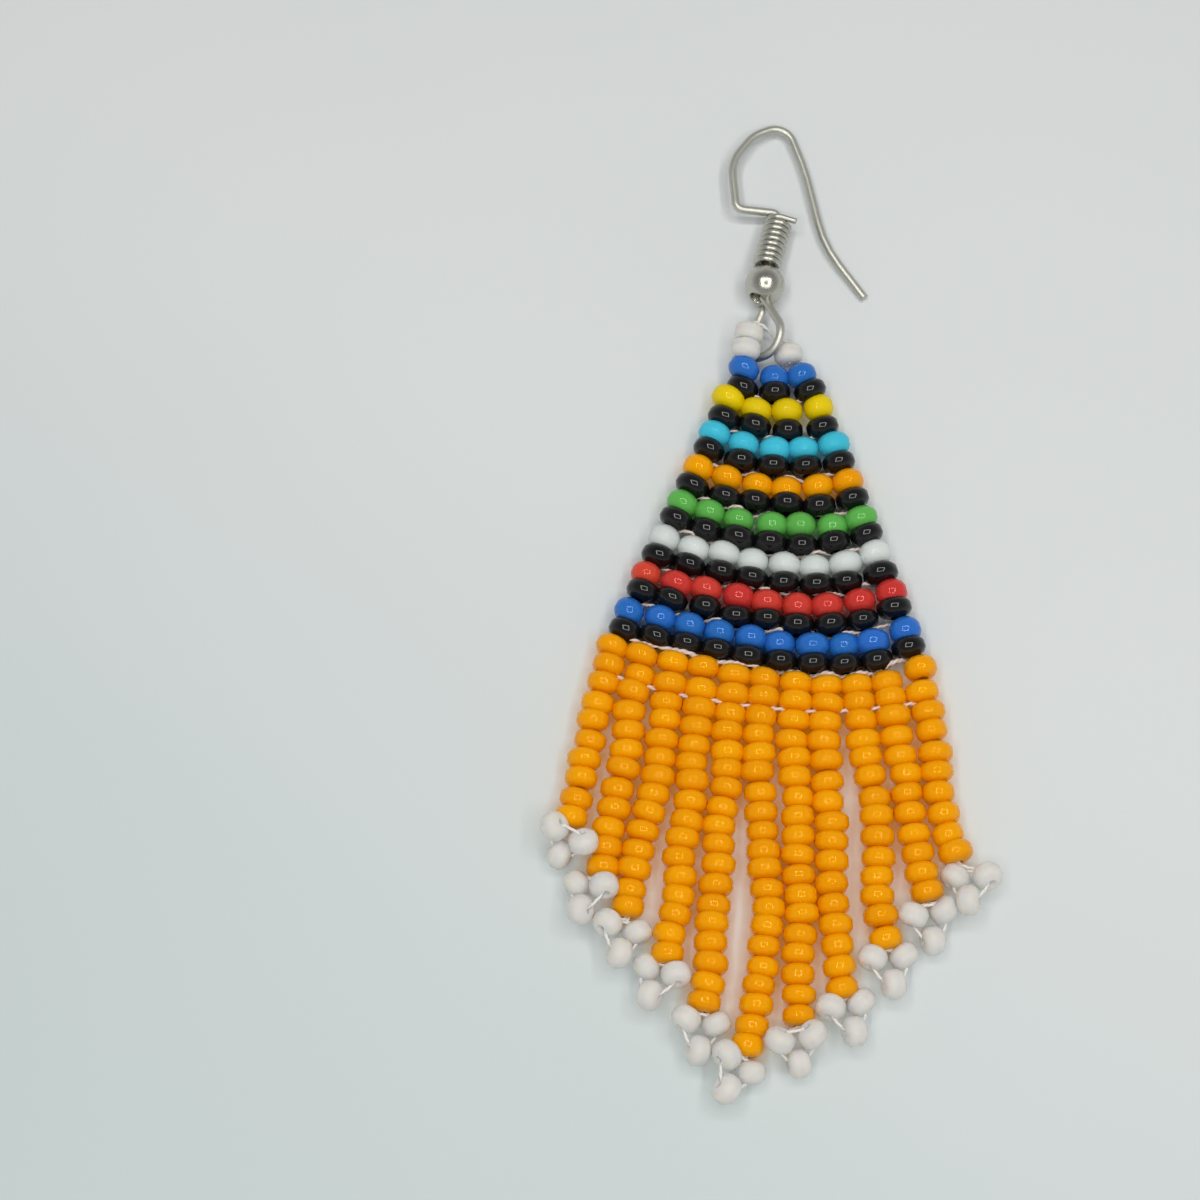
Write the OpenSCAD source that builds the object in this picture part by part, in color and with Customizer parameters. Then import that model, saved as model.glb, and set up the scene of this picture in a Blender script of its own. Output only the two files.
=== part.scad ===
// Beaded fringe earring lying flat, face up, with its hook toward +Y.
// Each row of the fan is one curved bar and each fringe strand one tube, as wide and as high as its beads.

/* [Seed beads] */
// Outer diameter of a coloured or black seed bead
bead_d = 2.4; // [2.35:0.01:2.42]
// Length of a seed bead along its hole
bead_len = 1.4; // [1.3:0.05:1.45]
// Spacing of the beads across a row of the fan
across = 2.43; // [2.41:0.01:2.45]
// Spacing of two coloured rows, with one black row between them
row_pair = 3.26; // [3.24:0.01:3.3]
// Distance of a black row below its coloured row
black_drop = 1.54; // [1.52:0.01:1.6]

/* [Fan] */
// Half angle of the arc of the first row
fan_half_angle = 20.5; // [19:0.5:22]
// How much each coloured row is flatter than the one above it, in degrees
fan_flatten = 0.45; // [0.4:0.05:0.5]
// Turn of the rows about their middles
fan_turn = -2.4; // [-3:0.1:-2]

/* [Fringe] */
// Width and height of a fringe strand
strand_d = 2.34; // [2.2:0.02:2.36]
// Diameter of a white bead in the end loops
picot_d = 2.3; // [2.2:0.05:2.3]
// Length of a white bead in the end loops
picot_len = 1.4; // [1.3:0.05:1.4]
// Radius of the thread ring that carries three white beads
picot_ring_r = 1.48; // [1.46:0.01:1.5]
// Diameter of the bead thread
thread_d = 0.22; // [0.18:0.02:0.26]

/* [Ear wire] */
// Diameter of the ear wire
wire_d = 0.7; // [0.6:0.05:0.8]
// Diameter of the ball on the stem
ball_d = 3.2; // [3.1:0.1:3.2]
// Bore of the ball
ball_bore = 1.5; // [1.4:0.05:1.6]
// Diameter of the wire that the coil is wound from
coil_wire_d = 0.5; // [0.4:0.05:0.52]
// Mean radius of the coil
coil_r = 0.93; // [0.9:0.01:0.98]
// Number of turns of the coil
coil_turns = 8.5; // [7.5:1:8.5]

/* [Loop beads] */
// Diameter of the three white beads in the wire loop
top_bead_d = 2.2; // [2.1:0.05:2.25]
// Length of those beads
top_bead_len = 1.3; // [1.2:0.05:1.3]

/* [Hidden] */
$fn = 48;
centre = [-0.038, 0.058, 0];

bead_r = bead_d / 2;
fan_x = -1;
first_row_y = 18.4;
row_end = 0.8;
// How far each of the first rows lies to the right
row_slip = [-0.18, -0.12, -0.24, -0.18];

// Ear wire, in the plane of the hook, from the ball centre
ball_at = [-2.22, 26.32, ball_d / 2];
hook_turn = -2.4;
hook_roll = 8.6;
stem_lean = atan2(1, 6.8);
// Corners of the bent wire
// [x, y, bend radius]
hook = [
    [0, -1.24, 0], [0, 0, 4], [1, 6.8, 0.6], [-2.68, 6.74, 0.7], [-3.3, 11.08, 3.6],
    [-1.49, 13.86, 3], [1.24, 15.33, 1.5], [3.01, 11.06, 12], [4.86, 4.26, 10], [8.38, -0.1, 0]
];
loop_r = 1.85;
loop_drop = 4.6;
loop_apex = 1.24;
loop_turn = -42;
// Cut end of the loop and its left side, in the plane of the loop
// [x, y, bend radius]
loop_end = [
    [-0.34, -2.02, 0], [-0.18, -2.5, 0.35], [-1.55, -4.85, 1.3], [-1.45, -6.45, 1.1], [0, -6.45, 0]
];
bend_step = 15;
wire_sides = 12;
pin_len = 3.2;
loop_half = asin(loop_r / (loop_drop - loop_apex));

coil_start = 1.7;
coil_end = 6.08;
coil_lean = 4;
coil_pivot = 4.8;
coil_steps = 12;
coil_tail = 1.3;

// White beads in the wire loop
// [x, y, z, axis x, axis y, axis z]
top_beads = [
    [-3.58, 20.56, 2.5, 0.1, 0.99, -0.05],
    [-3.36, 21.94, 2.36, 0.2, 0.98, 0],
    [-0.05, 20.35, 1.15, 0.14, -0.99, 0]
];
// Thread between the second and the third of them, through the loop
thread_way = [[-2.2, 22.55, 1.7], [-1.25, 22, 0.9]];
top_hole = 0.9;
top_thread_d = 0.3;

// Route of each fringe strand, from its second bead to its last
// [x, y]
routes = [
    [[-13.3, -7.1], [-14.1, -10.9], [-14.5, -14], [-15, -17], [-15.5, -19.7]],
    [[-10.9, -7.8], [-11.5, -11.1], [-11.5, -14.3], [-12, -17.4], [-12.5, -20.4], [-12.9, -23.5]],
    [[-8.5, -8.4], [-8.7, -11.5], [-8.9, -14.6], [-9.3, -17.8], [-10, -21.2], [-10.5, -24.5], [-10.7, -26.6]],
    [[-5.9, -8.8], [-6.2, -11.4], [-6.3, -15], [-6.5, -18.6], [-6.9, -22], [-6.8, -25.2], [-7.3, -27.6],
        [-7.6, -30]],
    [[-3.5, -9.1], [-3.7, -12.2], [-3.6, -15.6], [-4, -19.9], [-4, -23.6], [-4.2, -27.4], [-4.2, -30.4],
        [-4.7, -33.6]],
    [[-1, -9.25], [-1.3, -12.2], [-1.1, -15.8], [-0.7, -19.6], [-0.4, -22.6], [0, -25.6], [-0.1, -29],
        [-0.4, -32.4], [-1.1, -36.7]],
    [[1.5, -9.35], [1.4, -12.6], [1.8, -16.4], [2.1, -20], [2.25, -23.6], [2.6, -27], [2.5, -30.6], [2.6, -34.2]],
    [[4, -9.3], [3.9, -12.8], [4.2, -16], [4.7, -19.6], [4.8, -23.6], [5.3, -27], [5.5, -30], [5.9, -31.9]],
    [[6.5, -9], [6.9, -12.4], [7.7, -15.8], [8.1, -19], [8.3, -22.4], [8.4, -24.8], [9.1, -27.8]],
    [[9, -8.6], [9.5, -11.6], [10.3, -14.9], [10.7, -18], [11.4, -21], [12.1, -24.1]],
    [[11.5, -8], [12.2, -11], [12.8, -14.6], [13.3, -17.9], [14.3, -20.9]]
];
strand_lead = 0.5;
strand_trail = 0.45;

// Three-bead loop at the end of each strand
// [direction from the last bead, distance, heading, pitch, roll], angles from -Y toward +X
picots = [
    [-7, 2.15, -27, 52, 2],
    [-24, 2.5, -17, -11, -34],
    [-10, 2.4, -4, -16, 23],
    [-16, 2.2, -21, -13, -22],
    [-2, 2.3, -3, 2, 24],
    [-23, 2.4, -23, -6, 33],
    [-1, 2.5, 12, 38, 4],
    [14, 2.1, 18, -10, 17],
    [9, 2.3, 11, -7, 13],
    [8, 2.4, 11, 17, 14],
    [24, 2.8, -7, -21, -21]
];
picot_hole = 0.76;

function unit(v) = v / norm(v);
function rot_x(v, a) = [v.x, v.y * cos(a) - v.z * sin(a), v.y * sin(a) + v.z * cos(a)];
function rot_y(v, a) = [v.x * cos(a) + v.z * sin(a), v.y, v.z * cos(a) - v.x * sin(a)];
function rot_z(v, a) = [v.x * cos(a) - v.y * sin(a), v.x * sin(a) + v.y * cos(a), v.z];

// Direction of the path at point i, halfway between its two neighbours' directions
function heading(path, i) =
    let (n = len(path), a = path[max(i - 1, 0)], b = path[i], c = path[min(i + 1, n - 1)])
    i == 0 ? unit(c - b) : i == n - 1 ? unit(b - a) : unit(unit(b - a) + unit(c - b));

// Quads between ring k and ring k + 1 of a swept tube, split into triangles, and its two ends
function tube_faces(rings, sides) = concat(
    [[for (j = [sides - 1:-1:0]) j]],
    [for (k = [0:rings - 2], j = [0:sides - 1]) let (a = k * sides + j, b = k * sides + (j + 1) % sides)
        [a, b, a + sides]],
    [for (k = [0:rings - 2], j = [0:sides - 1]) let (a = k * sides + j, b = k * sides + (j + 1) % sides)
        [b, b + sides, a + sides]],
    [[for (j = [0:sides - 1]) (rings - 1) * sides + j]]
);

// Tube of the given radius along a path of 3-D points, with one flat side down
module tube(path, r, sides) {
    corner = r / cos(180 / sides);
    points = [for (i = [0:len(path) - 1])
        let (d = heading(path, i), side = unit(cross(d, [0, 0, 1])), up = cross(side, d))
        for (j = [0:sides - 1])
            let (a = 360 * (j + 0.5) / sides)
            path[i] + corner * (cos(a) * side + sin(a) * up)];
    polyhedron(points, tube_faces(len(path), sides), convexity = 4);
}

// Half outline with round ends, r wide and h high, between the radii r0 and r1
module round_end_outline(r0, r1, h) {
    e = (r1 - r0) / 2;
    translate([r0 + e, h / 2 - e]) circle(r = e);
    translate([r0 + e, e - h / 2]) circle(r = e);
    translate([r0, e - h / 2]) square([2 * e, h - 2 * e]);
}

// Drilled bead, its hole along the given axis
module bead(d, len, hole, axis) {
    u = unit(axis);
    rotate([0, acos(u.z), atan2(u.y, u.x)])
        rotate_extrude() round_end_outline(hole / 2, d / 2, len);
}

// Points along the bend at corner b of the line a, b, c, with bend radius b.z
function bend(a, b, c) =
    let (u = unit([b.x - a.x, b.y - a.y]), v = unit([c.x - b.x, c.y - b.y]),
        turn = atan2(cross(u, v), u * v), side = turn > 0 ? 1 : -1, back = b.z * tan(abs(turn) / 2),
        start = [b.x, b.y] - back * u, mid = start + side * b.z * [-u.y, u.x],
        steps = max(1, ceil(abs(turn) / bend_step)))
    [for (k = [0:steps]) let (t = turn * k / steps, w = start - mid)
        mid + [w.x * cos(t) - w.y * sin(t), w.x * sin(t) + w.y * cos(t)]];

// Points of a bent line, corner by corner, without its last point
function bent_line(c) = concat([[c[0].x, c[0].y]],
    [for (i = [1:len(c) - 2]) each bend(c[i - 1], c[i], c[i + 1])]);

function in_hook(p) = ball_at + rot_x(rot_y([p.x, p.y, 0], hook_roll), hook_turn);
function in_loop(p) = ball_at + rot_y([p.x, p.y, 0], loop_turn);

module ear_wire() {
    sweep = 90 + loop_half;
    steps = ceil(sweep / bend_step);
    loop = concat(bent_line(loop_end), [for (k = [0:steps]) let (t = 270 + sweep * k / steps)
        [loop_r * cos(t), loop_r * sin(t) - loop_drop]]);
    n = len(hook);
    line = bent_line(hook);
    tip = [hook[n - 1].x, hook[n - 1].y];
    pin_dir = unit(tip - line[len(line) - 1]);
    foot = tip - pin_len * pin_dir;
    path = concat([for (q = loop) in_loop(q)], [for (q = line) in_hook(q)], [in_hook(foot + 0.3 * pin_dir)]);
    color("silver") translate(centre) {
        tube(path, 0.985 * wire_d / 2 * cos(180 / wire_sides), wire_sides);
        translate(ball_at) rotate([hook_turn, 0, 0]) rotate([0, hook_roll, 0])
            translate([foot.x, foot.y, 0]) rotate([0, 0, atan2(pin_dir.y, pin_dir.x)]) rotate([0, 90, 0])
            cylinder(d = wire_d, h = pin_len);
    }
}

// Frame whose Z axis runs up the stem from the ball centre
module on_stem() {
    translate(centre) translate(ball_at) rotate([hook_turn, 0, 0]) rotate([0, hook_roll, 0])
        rotate([0, 0, -stem_lean]) rotate([-90, 0, 0]) children();
}

// Point at angle a round the coil wire at step k, the tail running straight off the last turn
function coil_at(k, a) =
    let (last = coil_turns * coil_steps, t = 270 + 360 * (min(k, last) - last) / coil_steps,
        out = coil_r + coil_wire_d / 2 * cos(a), tail = max(k - last, 0) * coil_tail)
    [out * cos(t) - tail * sin(t), out * sin(t) + tail * cos(t),
        coil_start + (coil_end - coil_start) * min(k, last) / last + coil_wire_d / 2 * sin(a)];

module wire_coil() {
    sides = 6;
    steps = coil_turns * coil_steps + 1;
    points = [for (k = [0:steps], j = [0:sides - 1]) coil_at(k, 360 * j / sides)];
    color("silver") on_stem()
        translate([0, 0, coil_pivot]) rotate([0, coil_lean, 0]) translate([0, 0, -coil_pivot])
        polyhedron(points, tube_faces(steps + 1, sides), convexity = 10);
}

module ball_bead() {
    color("lightgray") on_stem() difference() {
        sphere(d = ball_d);
        translate([0, 0, -ball_d]) cylinder(d = ball_bore, h = 2 * ball_d);
    }
}

module loop_beads() {
    color("white") translate(centre)
        for (b = top_beads)
            translate([b[0], b[1], b[2]]) bead(top_bead_d, top_bead_len, top_hole, [b[3], b[4], b[5]]);
}

// The two points, a before and b past the middle, where the thread enters and leaves a loop bead
function through(t, a, b) =
    let (p = [t[0], t[1], t[2]], u = unit([t[3], t[4], t[5]]))
    [p - a * u, p + b * u];

module loop_thread() {
    path = concat(through(top_beads[0], 0.8, 0.7), through(top_beads[1], 0.7, 0.9), thread_way,
        through(top_beads[2], 0.9, 0.8));
    color("mistyrose") translate(centre) tube(path, top_thread_d / 2, 6);
}

// Row of the fan: m counts the coloured rows, black is 1 for the black row under it
module fan_row(m, black) {
    half = across * (m + 2) / 2 + 0.36 * black;
    angle = fan_half_angle - fan_flatten * m;
    radius = half / sin(angle);
    reach = angle + atan(row_end / radius);
    slip = m < 2 ? row_slip[2 * m + black] : 0;
    translate(centre) translate([fan_x + slip, first_row_y - row_pair * m - black_drop * black, 0])
        rotate([0, 0, fan_turn]) translate([0, radius, bead_r]) rotate([0, 0, 270 - reach])
        rotate_extrude(angle = 2 * reach)
        round_end_outline(radius - bead_len / 2, radius + bead_len / 2, bead_d);
}

module strand(i) {
    r = strand_d / 2;
    way = [for (p = routes[i]) [p.x, p.y, r]];
    n = len(way);
    path = [for (k = [0:n - 1])
        way[k] - (k == 0 ? strand_lead : 0) * unit(way[1] - way[0])
            + (k == n - 1 ? strand_trail : 0) * unit(way[n - 1] - way[n - 2])];
    color("darkorange") translate(centre) tube(path, r, 8);
}

// Turns a vector of the flat thread ring into the tilt of end loop p
function tilted(v, p) = rot_z(rot_x(rot_y(v, p[4]), p[3]), p[2]);
function picot_out(p, k) = tilted([cos(120 * k - 90), sin(120 * k - 90), 0], p);
function picot_axis(p, k) = tilted([-sin(120 * k - 90), cos(120 * k - 90), 0], p);
// How far a bead with that axis reaches below its centre
function picot_reach(axis) =
    let (e = (picot_d - picot_hole) / 4, a = abs(axis.z))
    (picot_d / 2 - e) * sqrt(1 - a * a) + (picot_len / 2 - e) * a + e;
function picot_height(p) =
    max([for (k = [0:2]) picot_reach(picot_axis(p, k)) - picot_ring_r * picot_out(p, k).z]);
function picot_centre(i) =
    let (p = picots[i], last = routes[i][len(routes[i]) - 1])
    [last.x + p[1] * sin(p[0]), last.y - p[1] * cos(p[0]), picot_height(p)];

module picot(i) {
    p = picots[i];
    color("white") translate(centre) translate(picot_centre(i))
        for (k = [0:2])
            translate(picot_ring_r * picot_out(p, k)) bead(picot_d, picot_len, picot_hole, picot_axis(p, k));
}

module picot_threads() {
    color("mistyrose") translate(centre)
        for (i = [0:10])
            translate(picot_centre(i)) rotate([0, 0, picots[i][2]]) rotate([picots[i][3], 0, 0])
                rotate([0, picots[i][4], 0])
                rotate_extrude() translate([picot_ring_r, 0]) circle(d = thread_d);
}

module row_01_blue() { color("royalblue") fan_row(0, 0); }
module row_02_black() { color("#181818") fan_row(0, 1); }
module row_03_yellow() { color("gold") fan_row(1, 0); }
module row_04_black() { color("#181818") fan_row(1, 1); }
module row_05_turquoise() { color("mediumturquoise") fan_row(2, 0); }
module row_06_black() { color("#181818") fan_row(2, 1); }
module row_07_orange() { color("darkorange") fan_row(3, 0); }
module row_08_black() { color("#181818") fan_row(3, 1); }
module row_09_green() { color("seagreen") fan_row(4, 0); }
module row_10_black() { color("#181818") fan_row(4, 1); }
module row_11_white() { color("white") fan_row(5, 0); }
module row_12_black() { color("#181818") fan_row(5, 1); }
module row_13_red() { color("crimson") fan_row(6, 0); }
module row_14_black() { color("#181818") fan_row(6, 1); }
module row_15_blue() { color("royalblue") fan_row(7, 0); }
module row_16_black() { color("#181818") fan_row(7, 1); }
module row_17_orange() { color("darkorange") fan_row(8, 0); }
module strand_01() { strand(0); }
module strand_02() { strand(1); }
module strand_03() { strand(2); }
module strand_04() { strand(3); }
module strand_05() { strand(4); }
module strand_06() { strand(5); }
module strand_07() { strand(6); }
module strand_08() { strand(7); }
module strand_09() { strand(8); }
module strand_10() { strand(9); }
module strand_11() { strand(10); }
module picot_01() { picot(0); }
module picot_02() { picot(1); }
module picot_03() { picot(2); }
module picot_04() { picot(3); }
module picot_05() { picot(4); }
module picot_06() { picot(5); }
module picot_07() { picot(6); }
module picot_08() { picot(7); }
module picot_09() { picot(8); }
module picot_10() { picot(9); }
module picot_11() { picot(10); }

ear_wire();
wire_coil();
ball_bead();
loop_beads();
loop_thread();
row_01_blue();
row_02_black();
row_03_yellow();
row_04_black();
row_05_turquoise();
row_06_black();
row_07_orange();
row_08_black();
row_09_green();
row_10_black();
row_11_white();
row_12_black();
row_13_red();
row_14_black();
row_15_blue();
row_16_black();
row_17_orange();
strand_01();
strand_02();
strand_03();
strand_04();
strand_05();
strand_06();
strand_07();
strand_08();
strand_09();
strand_10();
strand_11();
picot_01();
picot_02();
picot_03();
picot_04();
picot_05();
picot_06();
picot_07();
picot_08();
picot_09();
picot_10();
picot_11();
picot_threads();
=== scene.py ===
import math

import bpy
import numpy as np
from bpy.props import FloatProperty, FloatVectorProperty, IntProperty, PointerProperty
from mathutils import Matrix


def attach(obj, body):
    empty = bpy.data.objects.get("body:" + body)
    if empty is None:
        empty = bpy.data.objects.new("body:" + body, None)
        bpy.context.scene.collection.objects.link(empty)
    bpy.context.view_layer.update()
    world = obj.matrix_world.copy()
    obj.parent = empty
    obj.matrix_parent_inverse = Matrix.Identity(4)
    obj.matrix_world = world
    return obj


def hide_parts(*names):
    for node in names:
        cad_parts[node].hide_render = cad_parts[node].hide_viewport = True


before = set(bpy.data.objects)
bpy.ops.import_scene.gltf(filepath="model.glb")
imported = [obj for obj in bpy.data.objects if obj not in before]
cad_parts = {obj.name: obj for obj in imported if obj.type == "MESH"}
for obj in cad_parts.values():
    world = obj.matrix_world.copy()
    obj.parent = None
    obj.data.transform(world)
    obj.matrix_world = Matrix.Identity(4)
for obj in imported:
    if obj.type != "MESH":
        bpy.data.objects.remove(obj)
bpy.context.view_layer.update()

bl_info = {
    "name": "Beaded Fringe Earring",
    "version": (1, 0, 0),
    "blender": (4, 5, 0),
    "location": "View3D > Sidebar > Earring",
    "description": "Seed beads, bead thread, ear wire and table for a beaded fringe earring",
    "category": "Object",
}

MM = 0.001
ROW_NODES = sorted(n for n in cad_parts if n.startswith("row_"))
STRAND_NODES = sorted(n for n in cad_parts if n.startswith("strand_"))
PICOT_NODES = sorted(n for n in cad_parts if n.startswith("picot_") and n != "picot_threads")

# Millimetres from here to the mesh: the whole model is moved by SHIFT so that its box is centred
SHIFT = np.array([-0.038, 0.058, 0.0])

# Route of each fringe strand over the table, from its second bead to its last: [x, y]
ROUTES = [
    [(-13.3, -7.1), (-14.1, -10.9), (-14.5, -14), (-15, -17), (-15.5, -19.7)],
    [(-10.9, -7.8), (-11.5, -11.1), (-11.5, -14.3), (-12, -17.4), (-12.5, -20.4), (-12.9, -23.5)],
    [(-8.5, -8.4), (-8.7, -11.5), (-8.9, -14.6), (-9.3, -17.8), (-10, -21.2), (-10.5, -24.5), (-10.7, -26.6)],
    [(-5.9, -8.8), (-6.2, -11.4), (-6.3, -15), (-6.5, -18.6), (-6.9, -22), (-6.8, -25.2), (-7.3, -27.6),
     (-7.6, -30)],
    [(-3.5, -9.1), (-3.7, -12.2), (-3.6, -15.6), (-4, -19.9), (-4, -23.6), (-4.2, -27.4), (-4.2, -30.4),
     (-4.7, -33.6)],
    [(-1, -9.25), (-1.3, -12.2), (-1.1, -15.8), (-0.7, -19.6), (-0.4, -22.6), (0, -25.6), (-0.1, -29),
     (-0.4, -32.4), (-1.1, -36.7)],
    [(1.5, -9.35), (1.4, -12.6), (1.8, -16.4), (2.1, -20), (2.25, -23.6), (2.6, -27), (2.5, -30.6),
     (2.6, -34.2)],
    [(4, -9.3), (3.9, -12.8), (4.2, -16), (4.7, -19.6), (4.8, -23.6), (5.3, -27), (5.5, -30), (5.9, -31.9)],
    [(6.5, -9), (6.9, -12.4), (7.7, -15.8), (8.1, -19), (8.3, -22.4), (8.4, -24.8), (9.1, -27.8)],
    [(9, -8.6), (9.5, -11.6), (10.3, -14.9), (10.7, -18), (11.4, -21), (12.1, -24.1)],
    [(11.5, -8), (12.2, -11), (12.8, -14.6), (13.3, -17.9), (14.3, -20.9)],
]
# Beads of each strand below the edge row
STRAND_BEADS = [9, 11, 13, 15, 17, 19, 17, 15, 13, 11, 9]

# Height of the middle of a bead that lies on the table, before its scatter
BEAD_LEVEL = 1.2

# First seed of each kind of piece
ROW_SEED, STRAND_SEED, PICOT_SEED, LOOP_SEED, STITCH_SEED, BETWEEN_SEED = 100, 200, 300, 400, 500, 600

# Middle of the fan's first row: [x, y]; its beads; how much further out a black row's end beads sit; how
# much higher a coloured row lies; and the orange edge row, counted from 0
FAN_TOP = (-1.0, 18.4)
FIRST_ROW_BEADS = 3
BLACK_WIDER, COLOURED_HIGHER = 0.36, 0.1
EDGE_ROW = 16

# How far each of the first rows lies to the right
ROW_SLIP = (-0.18, -0.12, -0.24, -0.18)

# How far each bead of the first two rows sits from where the fan's arc puts it: [x, y, z]
FIRST_ROWS_MOVED = {
    0: [(0, -0.25, 0.3), (0, -0.2, 0), (-0.25, -0.35, 0.1)],
    1: [(0.25, -0.2, 0), (0, 0, 0), (0, -0.15, 0)],
}

# How far the lower rows sag at places along them, from -1 at the left end to 1
SAG_AT = (-1, -0.5, 0, 0.55, 0.8, 1)
SAG_BY = (0.25, -0.22, 0, 0.42, 0.3, -0.3)

# Thread under a black row, and under the last one: [height under a bead, height between two, scatter of the
# height, scatter of the place, share of the full width]; how far down from the row it lies; and how far its
# two plies stand out
ROW_STITCH, EDGE_STITCH = (0.9, 1.6, 0.2, 0.12, 0.8), (1.9, 1.9, 0.12, 0.08, 1.15)
STITCH_DROP, STITCH_LOBES = 0.88, 0.22
# Thread between the first fringe beads: its height and the scatter of it
BETWEEN_LEVEL, BETWEEN_SCATTER = 1.5, 0.1

# Beads of the end loops, and the distance from a loop's centre to them
PICOT_WIDTH, PICOT_LENGTH, PICOT_RING = 2.4, 1.78, 1.47
# Thread of an end loop: share of the full width, how far it is drawn in between the beads, degrees from
# the ring's top to the feet of its two ends, and their way out of the strand's last bead: [ahead, aside, up]
PICOT_THREAD, PICOT_DRAW, PICOT_FEET = 0.8, 0.13, 26
PICOT_LEAD = [(0.4, 0, 0), (0.85, 0.12, 0.05)]

# Three-bead loop at each strand's end: [direction from the last bead, distance, heading, pitch, roll]
PICOTS = [
    (-7, 2.15, -27, 52, 2), (-24, 2.5, -17, -11, -34), (-10, 2.4, -4, -16, 23), (-16, 2.2, -21, -13, -22),
    (-2, 2.3, -3, 2, 24), (-23, 2.4, -23, -6, 33), (-1, 2.5, 12, 38, 4), (14, 2.1, 18, -10, 17),
    (9, 2.3, 11, -7, 13), (8, 2.4, 11, 17, 14), (24, 2.8, -7, -21, -21),
]

# Hole, fullness and number of sides of the drilled white beads
WHITE_HOLE, WHITE_FULLNESS, WHITE_SIDES = 0.8, 2.6, 16

# White beads in the wire loop: [x, y, z, axis x, axis y, axis z], how far the thread is led along each
# one's hole before and after its middle, and the thread's way from the second bead to the third
LOOP_WIDTH, LOOP_LENGTH = 2.48, 1.7
LOOP_BEADS = [
    (-3.58, 20.18, 2.3, 0.1, 0.99, -0.05), (-3.37, 21.6, 2.25, 0.2, 0.98, 0),
    (-0.05, 20.35, 1.2, 0.14, -0.99, 0),
]
THREAD_LEAD = [(0.8, 0.7), (0.7, 0.9), (0.9, 0.8)]
THREAD_WAY = [(-2.2, 22.55, 1.7), (-1.25, 22, 0.9)]

# Ear wire: ball centre, tilt of the hook's plane in degrees, and its corners: [x, y, bend radius]
BALL = np.array([-2.22, 26.32, 1.6])
BALL_TURN = (0, -1, 15)
HOOK_TILT = (-2.4, 8.6)
HOOK = [
    (0, -1.24, 0), (0, 0, 4), (1, 6.8, 0.6), (-2.68, 6.74, 0.7), (-3.3, 11.08, 3.6),
    (-1.49, 13.86, 3), (1.24, 15.33, 1.5), (3.01, 11.06, 12), (4.86, 4.26, 10), (8.38, -0.1, 0),
]
STEM_LEAN = math.degrees(math.atan2(1, 6.8))
# Pear-shaped loop under the ball: where its sides meet, its round end's middle and radius, its turn in
# degrees, and its cut end and left side in the plane of the loop: [x, y, bend radius]
LOOP_APEX, LOOP_DROP, LOOP_RADIUS = 1.24, 4.6, 1.85
LOOP_TURN = -42
LOOP_END = [(-0.34, -2.02, 0), (-0.18, -2.5, 0.35), (-1.55, -4.85, 1.3), (-1.45, -6.45, 1.1), (0, -6.45, 0)]
# Coil on the stem: its foot and height over the ball's centre, the reach of its cut tail, and its lean in
# degrees about its middle
COIL_FOOT, COIL_HEIGHT, COIL_TAIL = 1.7, 4.38, 1.3
COIL_MIDDLE, COIL_LEAN = 4.8, 4

# Square light: outer side, width of its bars, height and middle, in metres; its colour
LIGHT_SIDE, LIGHT_BAR, LIGHT_HEIGHT, LIGHT_MIDDLE = 0.26, 0.03, 0.30, (0.015, -0.045)
LIGHT_COLOUR = (1.0, 0.985, 0.96)
# Light all round, at the table's level and overhead
SKY_LOW, SKY_HIGH = (1.0, 1.0, 1.0), (0.12, 0.1225, 0.125)
# Place on the table that the camera looks at, and the camera's lens and film width
LOOK_AT = (-14.3, -1.3, 0)
LENS, FILM = 90, 36


def linear(r, g, b):
    """Linear colour of an 8-bit display colour."""
    c = np.array([r, g, b]) / 255
    c = np.where(c <= 0.04045, c / 12.92, ((c + 0.055) / 1.055) ** 2.4)
    return tuple(float(v) for v in c)


def number_prop(name, description, value, least, most, scale=1, **kind):
    """Number for the panel; its value and limits are given in units of scale."""
    return FloatProperty(name=name, description=description, default=value * scale, min=least * scale,
                         max=most * scale, **kind)


def length_prop(*row):
    """Length given in millimetres."""
    return number_prop(*row, MM, unit="LENGTH", precision=5)


def angle_prop(*row):
    """Angle given in degrees."""
    return number_prop(*row, math.pi / 180, subtype="ANGLE")


class EarringBeads(bpy.types.PropertyGroup):
    width: length_prop("Width", "Outer diameter of a coloured bead", 2.44, 2, 3)
    length: length_prop("Length", "Length of a bead along its hole", 1.6, 1.2, 2)
    hole: length_prop("Hole", "Diameter of the hole", 0.8, 0.5, 1.2)
    size_scatter: number_prop("Size scatter", "Spread of the beads' sizes", 0.02, 0, 0.06, subtype="FACTOR")
    place_scatter: length_prop("Place scatter", "How far beads sit out of line", 0.06, 0, 0.2)
    lean_scatter: angle_prop("Lean scatter", "How far the holes point out of line", 3.5, 0, 10)
    sides: IntProperty(name="Sides", description="Flats round a fringe bead", default=12, min=10, max=24)


class EarringFan(bpy.types.PropertyGroup):
    across: length_prop("Across", "Spacing of the beads in a row", 2.43, 2.3, 2.6)
    row_pair: length_prop("Row pair", "Spacing of two coloured rows", 3.26, 3, 3.6)
    black_drop: length_prop("Black drop", "Black row below its coloured row", 1.54, 1.4, 1.8)
    half_angle: angle_prop("Half angle", "Half angle of the first row's arc", 20.5, 12, 28)
    flatten: angle_prop("Flatten", "How much flatter each next row is", 0.45, 0, 1)
    turn: angle_prop("Turn", "Turn of the rows about their middles", -2.4, -6, 6)


class EarringThread(bpy.types.PropertyGroup):
    width: length_prop("Width", "Diameter of the bead thread", 0.3, 0.1, 0.5)
    lay: length_prop("Lay", "Length of one turn of the two plies", 1.3, 0.5, 3)


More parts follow.
